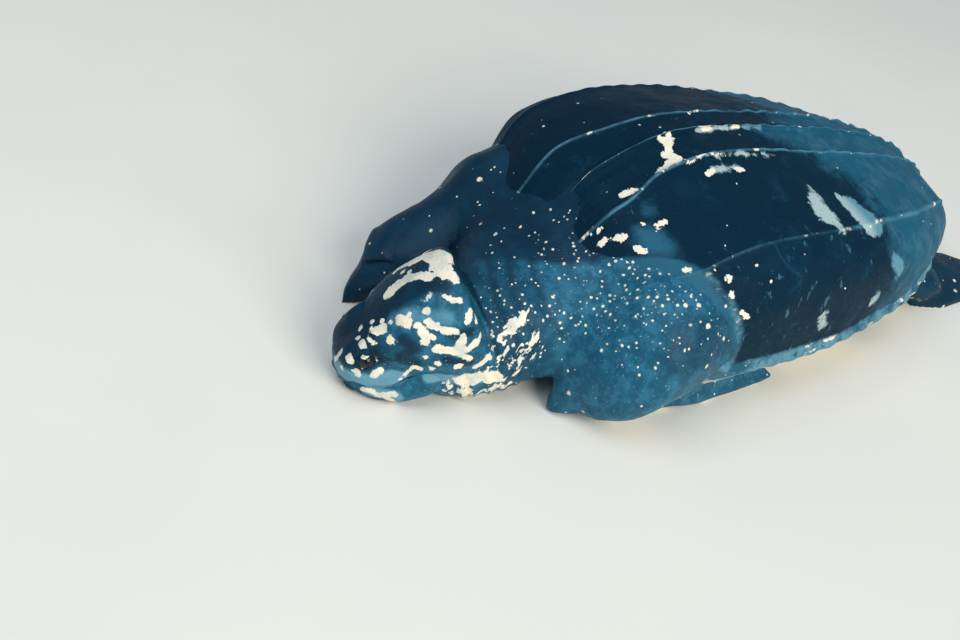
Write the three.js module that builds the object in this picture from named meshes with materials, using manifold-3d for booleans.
// A life-size leatherback sea turtle lying on its belly, chin on the ground, as a still museum model.
// Millimetres, +Z up. The head points along -Y and the turtle's left side is +X.
// The origin is on the flat of the belly, under the middle of the shell.
import * as THREE from "three";
import { mergeVertices } from "three/addons/utils/BufferGeometryUtils.js";
import Module from "manifold-3d";

const wasm = await Module();
wasm.setup();

// ---------------------------------------------------------------- driving dimensions
const SHELL_LENGTH = 1480; // straight, from the nape to the point over the tail
const SHELL_HALF_WIDTH = 424;
const SHELL_HEIGHT = 478; // ground to the middle keel at its highest
const MARGIN_HEIGHT = 140; // ground to the lowest keel, the edge of the shell, at mid length
const KEEL_HEIGHT = 13; // how far a keel stands above the shell
const KEELS_PER_SIDE = 3; // besides the middle one
const HEAD_LENGTH = 314; // snout to the back of the skull, with its neck end
const EYE_RADIUS = 21;
const GAP = 0.8; // left between neighbouring pieces

// Facets: points round a section, and sections along a form.
const DETAIL = {
  shell: { around: 48, along: 24 },
  belly: { around: 24, along: 24 },
  neck: { around: 20, along: 13 },
  head: { around: 22, along: 18 },
  jaw: { around: 14, along: 10 },
  eye: { around: 14, along: 10 },
  arm: { around: 14, along: 9 },
  blade: { around: 14, along: 16 },
  hind: { around: 12, along: 12 },
  tail: { around: 12, along: 7 },
};

// ---------------------------------------------------------------- curves and forms
// A smooth curve through [place, value] pairs that never overshoots them.
function profile(pairs) {
  const last = pairs.length - 1;
  const step = pairs.slice(1).map(([x], k) => x - pairs[k][0]);
  const rise = pairs.slice(1).map(([, y], k) => (y - pairs[k][1]) / step[k]);
  const slope = pairs.map((_, k) => {
    if (k === 0) return rise[0];
    if (k === last) return rise[last - 1];
    if (rise[k - 1] * rise[k] <= 0) return 0;
    const before = 2 * step[k] + step[k - 1];
    const after = step[k] + 2 * step[k - 1];
    return (before + after) / (before / rise[k - 1] + after / rise[k]);
  });
  return (place) => {
    const x = Math.min(pairs[last][0], Math.max(pairs[0][0], place));
    let k = 0;
    while (k < last - 1 && x > pairs[k + 1][0]) k += 1;
    const f = (x - pairs[k][0]) / step[k];
    return (
      pairs[k][1] * (1 + 2 * f) * (1 - f) ** 2 +
      slope[k] * step[k] * f * (1 - f) ** 2 +
      pairs[k + 1][1] * f * f * (3 - 2 * f) +
      slope[k + 1] * step[k] * f * f * (f - 1)
    );
  };
}

// The same for points in space: a curve through [place, [x, y, z]] pairs.
function path(pairs) {
  const axes = [0, 1, 2].map((axis) => profile(pairs.map(([s, point]) => [s, point[axis]])));
  return (s) => new THREE.Vector3(...axes.map((along) => along(s)));
}

const power = (value, exponent) => Math.sign(value) * Math.abs(value) ** exponent;

// A closed form: rings of points, one after another, closed at each end by a single point.
// place(s, angle) gives the surface point at share s of the way along, at that angle round the ring.
function form({ around, along }, place) {
  const points = [place(0, 0)];
  for (let row = 1; row < along; row += 1) {
    for (let column = 0; column < around; column += 1) {
      points.push(place(row / along, (column / around) * 2 * Math.PI));
    }
  }
  points.push(place(1, 0));
  const end = points.length - 1;
  const at = (row, column) => 1 + (row - 1) * around + (column % around);
  const faces = [];
  for (let column = 0; column < around; column += 1) {
    faces.push(0, at(1, column), at(1, column + 1));
    for (let row = 1; row < along - 1; row += 1) {
      faces.push(at(row, column), at(row + 1, column), at(row + 1, column + 1));
      faces.push(at(row, column), at(row + 1, column + 1), at(row, column + 1));
    }
    faces.push(at(along - 1, column), end, at(along - 1, column + 1));
  }
  const geometry = new THREE.BufferGeometry().setFromPoints(points).setIndex(faces);
  return facingOut(geometry);
}

// A ready-made shape with its corners joined, so that it closes.
function bare(geometry) {
  geometry.deleteAttribute("normal");
  geometry.deleteAttribute("uv");
  return facingOut(mergeVertices(geometry, 1e-3));
}

function volumeOf(geometry) {
  const index = geometry.index.array;
  const position = geometry.getAttribute("position");
  const corner = [0, 1, 2].map(() => new THREE.Vector3());
  let sum = 0;
  for (let i = 0; i < index.length; i += 3) {
    corner.forEach((c, k) => c.fromBufferAttribute(position, index[i + k]));
    sum += corner[0].dot(corner[1].clone().cross(corner[2])) / 6;
  }
  return sum;
}

function facingOut(geometry) {
  const index = geometry.index.array;
  if (volumeOf(geometry) < 0) {
    for (let i = 0; i < index.length; i += 3) {
      [index[i + 1], index[i + 2]] = [index[i + 2], index[i + 1]];
    }
  }
  return geometry;
}

// ---------------------------------------------------------------- solids
function solid(geometry) {
  return new wasm.Manifold(
    new wasm.Mesh({
      numProp: 3,
      vertProperties: new Float32Array(geometry.getAttribute("position").array),
      triVerts: new Uint32Array(geometry.index.array),
    }),
  );
}

function geometryOf(manifold) {
  const mesh = manifold.getMesh();
  const points = new Float32Array(mesh.numVert * 3);
  for (let i = 0; i < mesh.numVert; i += 1) {
    points.set(mesh.vertProperties.subarray(i * mesh.numProp, i * mesh.numProp + 3), i * 3);
  }
  return new THREE.BufferGeometry()
    .setAttribute("position", new THREE.BufferAttribute(points, 3))
    .setIndex(new THREE.BufferAttribute(mesh.triVerts, 1));
}

// The same form, larger by the gap all round, to cut its neighbours with.
function grown(geometry, gap = GAP) {
  const larger = geometry.clone();
  larger.computeVertexNormals();
  const position = larger.getAttribute("position");
  const normal = larger.getAttribute("normal");
  for (let i = 0; i < position.count; i += 1) {
    position.setXYZ(
      i,
      position.getX(i) + normal.getX(i) * gap,
      position.getY(i) + normal.getY(i) * gap,
      position.getZ(i) + normal.getZ(i) * gap,
    );
  }
  larger.deleteAttribute("normal");
  return solid(larger);
}

// Takes away whatever lies below the ground, which leaves flats to rest on.
function onGround(manifold) {
  const reach = 3 * SHELL_LENGTH;
  const ground = new THREE.BoxGeometry(reach, reach, reach);
  ground.translate(0, 0, -reach / 2);
  return manifold.subtract(solid(bare(ground)));
}

// What is left of a form outside its neighbours, as its largest single piece. In a sharp fold a grown
// form can fall short of the form itself, so both are taken away.
function cutBy(manifold, neighbours) {
  const rest = neighbours.reduce(
    (left, other) => left.subtract(grown(other)).subtract(solid(other)),
    onGround(manifold),
  );
  const pieces = rest.decompose().sort((a, b) => b.volume() - a.volume());
  return geometryOf(pieces[0]);
}

// ---------------------------------------------------------------- trunk
const shellWidth = profile([
  [0, 0.8], [0.12, 0.99], [0.33, 1], [0.6, 0.88], [0.8, 0.62], [0.92, 0.34], [1, 0.07],
]);
const shellTop = profile([
  [0, 0.56], [0.08, 0.86], [0.24, 1], [0.5, 0.91], [0.8, 0.69], [0.92, 0.45], [1, 0.25],
]);
const marginLevel = profile([
  [0, 1.3], [0.13, 1.02], [0.3, 0.97], [0.45, 0.98], [0.7, 0.9], [0.9, 0.7], [1, 0.5],
]);
// How far the front edge of the shell lies behind the nape, from the middle keel out to the margin.
const frontSweep = profile([[0, 18], [1 / 3, 0], [2 / 3, 50], [1, 165]]);
const bellyLevel = profile([[0, 40], [0.07, 0], [0.86, 0], [1, 38]]);
const BELLY_FULLNESS = 1.15; // over 1 makes the middle of the belly flat
const FLANK_ROUNDING = 1.8;
const CROWN_ROUNDING = 0.4;
const KEEL_NARROWNESS = 4; // a keel takes up two of these parts of the way to the next keel
// How far out from the middle the two inner keels of a side run; the outermost one is the margin.
const innerKeel = profile([
  [0, 0.34], [0.08, 0.33], [0.16, 0.275], [0.35, 0.26], [0.47, 0.28], [0.75, 0.31], [1, 0.333],
]);
const OUTER_KEEL = 0.65;
const THINNEST_TRUNK = 12; // from belly to shell, where the two draw together
const BELLY_INSET = 4; // how far the belly's edge lies inside the shell's
// Both trunk pieces close at the front on a point inside, which leaves a dish for the neck.
const SHELL_DISH = new THREE.Vector3(0, -0.44 * SHELL_LENGTH, 0.5 * SHELL_HEIGHT);
const BELLY_DISH = new THREE.Vector3(0, -0.4 * SHELL_LENGTH, 0.5 * MARGIN_HEIGHT);
const SHELL_TIP = new THREE.Vector3(0, 8, -8); // past the end of the middle keel

// A point of the shell at share t of its length. The keels of a side are at thirds of w, which is 1 on
// the left margin and -1 on the right one, and u is the true share of the way out.
function shellPoint(t, w) {
  const keels = Math.abs(w) * KEELS_PER_SIDE;
  const places = [0, innerKeel(t), OUTER_KEEL, 1];
  const inside = Math.min(KEELS_PER_SIDE - 1, Math.floor(keels));
  const u = Math.sign(w) * THREE.MathUtils.lerp(places[inside], places[inside + 1], keels - inside);
  const halfWidth = SHELL_HALF_WIDTH * shellWidth(t);
  const top = SHELL_HEIGHT * shellTop(t);
  const margin = MARGIN_HEIGHT * marginLevel(t);
  const angle = (Math.abs(u) * Math.PI) / 2;
  const fromKeel = Math.abs(keels - Math.round(keels));
  const ridge = Math.max(0, 1 - fromKeel * KEEL_NARROWNESS);
  const keel = KEEL_HEIGHT * ridge * Math.min(1, 6 * (1 - t));
  const out = Math.sin(angle) ** FLANK_ROUNDING;
  const up = Math.max(0, Math.cos(angle)) ** CROWN_ROUNDING;
  return new THREE.Vector3(
    Math.sign(u) * (halfWidth * out + keel * Math.sin(angle)),
    SHELL_LENGTH * (t - 0.5) + frontSweep(Math.abs(u)) * (1 - t) ** 3,
    margin + (top - margin) * up + keel * Math.cos(angle),
  );
}

// Sections start and end at the left margin: over the shell, then straight back under it.
function carapaceForm() {
  const detail = DETAIL.shell;
  return form(detail, (s, angle) => {
    const row = s * detail.along;
    const t = THREE.MathUtils.clamp((row - 1) / (detail.along - 2), 0, 1);
    if (row < 1) return SHELL_DISH.clone();
    if (row > detail.along - 1) return shellPoint(1, 0).add(SHELL_TIP);
    const share = angle / (2 * Math.PI);
    const overTop = 0.75;
    if (share <= overTop) return shellPoint(t, 1 - (2 * share) / overTop);
    const across = (share - overTop) / (1 - overTop);
    return shellPoint(t, -1).lerp(shellPoint(t, 1), across);
  });
}

function plastronForm() {
  const detail = DETAIL.belly;
  return form(detail, (s, angle) => {
    const row = s * detail.along;
    const t = THREE.MathUtils.clamp((row - 1) / (detail.along - 2), 0, 1);
    const left = shellPoint(t, 1);
    const right = shellPoint(t, -1);
    const roof = left.z - GAP;
    const floor = Math.min(bellyLevel(t), roof - THINNEST_TRUNK);
    if (row < 1) return BELLY_DISH.clone();
    if (row > detail.along - 1) return new THREE.Vector3(0, left.y + BELLY_INSET, 0.5 * (roof + floor));
    const share = angle / (2 * Math.PI);
    const overTop = 0.25;
    if (share < overTop) {
      return new THREE.Vector3().lerpVectors(right, left, share / overTop).setZ(roof);
    }
    const under = (Math.PI * (share - overTop)) / (1 - overTop);
    const depth = Math.min(1, BELLY_FULLNESS * Math.sin(under));
    return new THREE.Vector3(
      (left.x - BELLY_INSET) * Math.cos(under),
      left.y,
      roof + (floor - roof) * depth,
    );
  });
}

// ---------------------------------------------------------------- head
// The head's own frame has its origin at the back of the skull, on the level of the mouth.
const HEAD_PLACE = { x: 98, y: -904, z: 148 };
const HEAD_TURN = THREE.MathUtils.degToRad(-16); // towards its right
const HEAD_NOD = THREE.MathUtils.degToRad(22); // downwards
const headWidth = profile([
  [0, 0], [0.015, 27], [0.06, 50], [0.16, 72], [0.3, 90], [0.45, 105], [0.6, 115], [0.8, 121], [1, 112],
]);
const headTop = profile([
  [0, 26], [0.015, 44], [0.06, 64], [0.16, 87], [0.3, 111], [0.5, 149], [0.7, 176], [0.88, 188], [1, 178],
]);
const lipLine = profile([
  [0, 6], [0.03, -4], [0.09, 4], [0.17, -8], [0.3, -8], [0.45, 6], [0.55, 12], [0.7, 0], [1, 0],
]);
const throatDrop = profile([[0, 0], [0.5, 0], [0.6, 26], [0.72, 52], [1, 60]]);
const jawDrop = profile([[0, 6], [0.02, 26], [0.08, 44], [0.25, 66], [0.5, 88], [0.75, 96]]);
const JAW_REACH = 0.68; // share of the head's length
const EYE_AT = { s: 0.207, out: 0.735, up: 58 };
const CUSP = { s: 0.035, out: 13, up: 2, radius: 8, length: 30 };

const headPlace = new THREE.Matrix4()
  .makeRotationFromEuler(new THREE.Euler(HEAD_NOD, 0, HEAD_TURN, "ZXY"))
  .setPosition(HEAD_PLACE.x, HEAD_PLACE.y, HEAD_PLACE.z);
const onHead = (geometry) => geometry.applyMatrix4(headPlace);

// Along the head, s runs from 0 at the snout to 1 at the back of the skull, which is at y = 0.
const headY = (s) => HEAD_LENGTH * (s - 1);

function upperHeadForm() {
  return form(DETAIL.head, (share, angle) => {
    const s = share ** 1.5;
    const closing = Math.sqrt(Math.max(0, 1 - Math.max(0, (s - 0.9) / 0.1) ** 2));
    const low = lipLine(s) - throatDrop(s);
    const middle = 0.5 * (headTop(s) + low);
    const halfHeight = 0.5 * (headTop(s) - low) * closing * Math.min(1, share * 12);
    const squareness = 0.72 + 0.28 * s;
    return new THREE.Vector3(
      headWidth(s) * closing * power(Math.cos(angle), squareness),
      headY(s),
      middle + halfHeight * power(Math.sin(angle), 0.85),
    );
  });
}

function jawForm() {
  return form(DETAIL.jaw, (share, angle) => {
    const s = 0.012 + (JAW_REACH - 0.012) * share ** 1.4;
    const closing = Math.sqrt(Math.max(0, 1 - Math.max(0, (share - 0.8) / 0.2) ** 2));
    const roof = lipLine(s) - 1.2;
    const low = lipLine(s) - jawDrop(s);
    const halfHeight = 0.5 * (roof - low) * closing * Math.min(1, share * 14);
    return new THREE.Vector3(
      (headWidth(s) - 3) * closing * power(Math.cos(angle), 0.8),
      headY(s),
      0.5 * (roof + low) + halfHeight * power(Math.sin(angle), 0.7),
    );
  });
}

// The two tooth-like points of the upper jaw.
function cuspForm(side) {
  const cusp = new THREE.ConeGeometry(CUSP.radius, CUSP.length, 8);
  cusp.rotateX(-Math.PI / 2);
  cusp.translate(side * CUSP.out, headY(CUSP.s), CUSP.up);
  return bare(cusp);
}

function eyeForm(side) {
  const eye = new THREE.SphereGeometry(EYE_RADIUS, DETAIL.eye.around, DETAIL.eye.along);
  eye.translate(side * headWidth(EYE_AT.s) * EYE_AT.out, headY(EYE_AT.s), EYE_AT.up);
  return bare(eye);
}

// ---------------------------------------------------------------- neck
const neckCentre = path([
  [0, [0, -560, 190]],
  [0.3, [10, -700, 160]],
  [0.6, [48, -815, 134]],
  [0.8, [80, -905, 112]],
  [0.92, [78, -985, 74]],
  [1, [62, -1075, 48]],
]);
const neckWidth = profile([
  [0, 0], [0.1, 290], [0.3, 285], [0.5, 210], [0.7, 158], [0.85, 128], [0.95, 92], [1, 0],
]);
const neckHeight = profile([
  [0, 0], [0.1, 150], [0.3, 150], [0.5, 140], [0.7, 138], [0.85, 118], [0.95, 66], [1, 0],
]);

function neckForm() {
  return form(DETAIL.neck, (s, angle) => {
    const centre = neckCentre(s);
    const point = new THREE.Vector3(
      centre.x + neckWidth(s) * power(Math.cos(angle), 0.9),
      centre.y,
      centre.z + neckHeight(s) * power(Math.sin(angle), 0.85),
    );
    return point;
  });
}

// ---------------------------------------------------------------- limbs
// A rounded limb along a curve; the section is upright across the way the curve runs.
function limbForm(detail, { centre, width, height }) {
  return form(detail, (s, angle) => {
    const ahead = centre(Math.min(1, s + 0.02)).sub(centre(Math.max(0, s - 0.02)));
    const across = new THREE.Vector3(ahead.y, -ahead.x, 0).normalize();
    const point = centre(s)
      .addScaledVector(across, width(s) * Math.cos(angle))
      .add(new THREE.Vector3(0, 0, height(s) * Math.sin(angle)));
    return point;
  });
}

// A flipper's blade. Its leading edge follows a line on the ground, and its chord rises from there
// towards the body at the given lean. It loses the share taper of its thickness on the way to the
// trailing edge, and a bluntness under 1 rounds both edges.
function bladeForm(detail, { edge, lean, chord, thickness, inward, taper, bluntness }) {
  return form(detail, (s, angle) => {
    const ahead = edge(Math.min(1, s + 0.02)).sub(edge(Math.max(0, s - 0.02))).normalize();
    const side = new THREE.Vector3(-ahead.y * inward, ahead.x * inward, 0);
    const tilt = lean(s);
    const chordwise = side.clone().multiplyScalar(Math.cos(tilt)).setZ(Math.sin(tilt));
    const outward = side.clone().multiplyScalar(-Math.sin(tilt)).setZ(Math.cos(tilt));
    const along = 0.5 * (1 - Math.cos(angle));
    const point = edge(s)
      .addScaledVector(chordwise, chord(s) * along)
      .addScaledVector(outward, thickness(s) * power(Math.sin(angle), bluntness) * (1 - taper * along));
    return point;
  });
}

const degrees = (pairs) => profile(pairs.map(([s, value]) => [s, THREE.MathUtils.degToRad(value)]));

const FRONT_BLADE = {
  chord: profile([
    [0, 0], [0.03, 90], [0.12, 190], [0.3, 250], [0.5, 232], [0.7, 168], [0.85, 102], [0.94, 56],
    [0.985, 22], [1, 0],
  ]),
  thickness: profile([[0, 0], [0.04, 34], [0.15, 56], [0.35, 44], [0.6, 27], [0.85, 18], [1, 10]]),
  taper: 0.62,
  bluntness: 1,
};

const FRONT_LEFT = {
  arm: {
    centre: path([[0, [170, -500, 215]], [0.5, [284, -612, 194]], [1, [286, -790, 92]]]),
    width: profile([[0, 0], [0.12, 130], [0.35, 160], [0.65, 157], [0.88, 106], [1, 0]]),
    height: profile([[0, 0], [0.12, 118], [0.35, 152], [0.65, 150], [0.88, 100], [1, 0]]),
  },
  blade: {
    edge: path([
      [0, [256, -806, 0]], [0.12, [275, -752, 0]], [0.35, [324, -612, 0]], [0.65, [366, -420, 0]],
      [1, [362, -190, 0]],
    ]),
    lean: degrees([[0, 86], [0.3, 84], [0.6, 66], [0.85, 40], [1, 24]]),
    inward: 1,
    ...FRONT_BLADE,
  },
};

const FRONT_RIGHT = {
  arm: {
    centre: path([[0, [-170, -500, 205]], [0.5, [-229, -700, 166]], [1, [-229, -1006, 56]]]),
    width: profile([[0, 0], [0.12, 120], [0.45, 136], [0.66, 86], [0.85, 80], [1, 0]]),
    height: profile([[0, 0], [0.12, 110], [0.45, 136], [0.66, 88], [0.8, 64], [0.9, 54], [1, 0]]),
  },
  blade: {
    edge: path([
      [0, [-206, -1047, 0]], [0.15, [-273, -972, 0]], [0.35, [-340, -818, 0]], [0.65, [-455, -640, 0]],
      [1, [-545, -410, 0]],
    ]),
    lean: degrees([[0, 40], [0.3, 33], [0.6, 44], [0.85, 42], [1, 26]]),
    inward: -1,
    ...FRONT_BLADE,
  },
};

// A hind flipper lies flat behind the shell's edge, its tip trailing outwards.
function hindLimb(side) {
  return {
    arm: {
      centre: path([[0, [side * 120, 370, 66]], [0.5, [side * 205, 440, 56]], [1, [side * 250, 560, 34]]]),
      width: profile([[0, 0], [0.15, 84], [0.5, 96], [0.85, 70], [1, 0]]),
      height: profile([[0, 0], [0.15, 56], [0.5, 54], [0.85, 34], [1, 0]]),
    },
    blade: {
      edge: path([
        [0, [side * 282, 420, 0]], [0.3, [side * 322, 530, 0]], [0.65, [side * 312, 665, 0]],
        [1, [side * 238, 810, 0]],
      ]),
      lean: degrees([[0, 16], [1, 9]]),
      chord: profile([[0, 0], [0.06, 110], [0.35, 190], [0.7, 200], [0.88, 158], [0.96, 92], [1, 0]]),
      thickness: profile([[0, 0], [0.1, 30], [0.4, 26], [0.8, 18], [1, 10]]),
      inward: side,
      taper: 0.45,
      bluntness: 0.6,
    },
  };
}

const TAIL = {
  centre: path([[0, [0, 520, 44]], [0.5, [0, 660, 40]], [1, [0, 795, 16]]]),
  width: profile([[0, 0], [0.15, 70], [0.5, 52], [0.9, 20], [1, 0]]),
  height: profile([[0, 0], [0.15, 40], [0.5, 36], [0.9, 16], [1, 0]]),
};

// ---------------------------------------------------------------- materials
const skinFinish = new THREE.MeshStandardMaterial({ color: 0x1d4560, roughness: 0.45, metalness: 0 });
const shellFinish = new THREE.MeshStandardMaterial({ color: 0x12344a, roughness: 0.4, metalness: 0 });
const bellyFinish = new THREE.MeshStandardMaterial({ color: 0x9fb2b5, roughness: 0.6, metalness: 0 });
const eyeFinish = new THREE.MeshStandardMaterial({ color: 0x05090c, roughness: 0.08, metalness: 0 });

const named = (name, geometry, material) => {
  const mesh = new THREE.Mesh(geometry, material);
  mesh.name = name;
  return mesh;
};

// ---------------------------------------------------------------- the turtle, in cutting order
const carapace = carapaceForm();
const plastron = plastronForm();
const eyes = [onHead(eyeForm(1)), onHead(eyeForm(-1))];
const jaw = onHead(jawForm());
const skull = onHead(upperHeadForm());
const throat = neckForm();
const tail = limbForm(DETAIL.tail, TAIL);

const joined = (...forms) => forms.map(solid).reduce((whole, next) => whole.add(next));
const flipper = (detail, limb, neighbours) =>
  cutBy(joined(limbForm(DETAIL.arm, limb.arm), bladeForm(detail, limb.blade)), neighbours);
const beak = joined(skull, onHead(cuspForm(1)), onHead(cuspForm(-1)));

const frontNeighbours = [carapace, plastron, throat];
const hindNeighbours = [carapace, plastron, tail];

const turtle = new THREE.Group();
turtle.add(
  named("carapace", carapace, shellFinish),
  named("plastron", cutBy(solid(plastron), []), bellyFinish),
  named("neck", cutBy(solid(throat), [carapace, plastron, skull, jaw]), skinFinish),
  named("head", cutBy(beak, [jaw, ...eyes]), skinFinish),
  named("lower_jaw", cutBy(solid(jaw), []), skinFinish),
  named("eye_left", eyes[0], eyeFinish),
  named("eye_right", eyes[1], eyeFinish),
  named("front_flipper_left", flipper(DETAIL.blade, FRONT_LEFT, frontNeighbours), skinFinish),
  named("front_flipper_right", flipper(DETAIL.blade, FRONT_RIGHT, frontNeighbours), skinFinish),
  named("hind_flipper_left", flipper(DETAIL.hind, hindLimb(1), hindNeighbours), skinFinish),
  named("hind_flipper_right", flipper(DETAIL.hind, hindLimb(-1), hindNeighbours), skinFinish),
  named("tail", cutBy(solid(tail), [carapace, plastron]), skinFinish),
);

export default turtle;
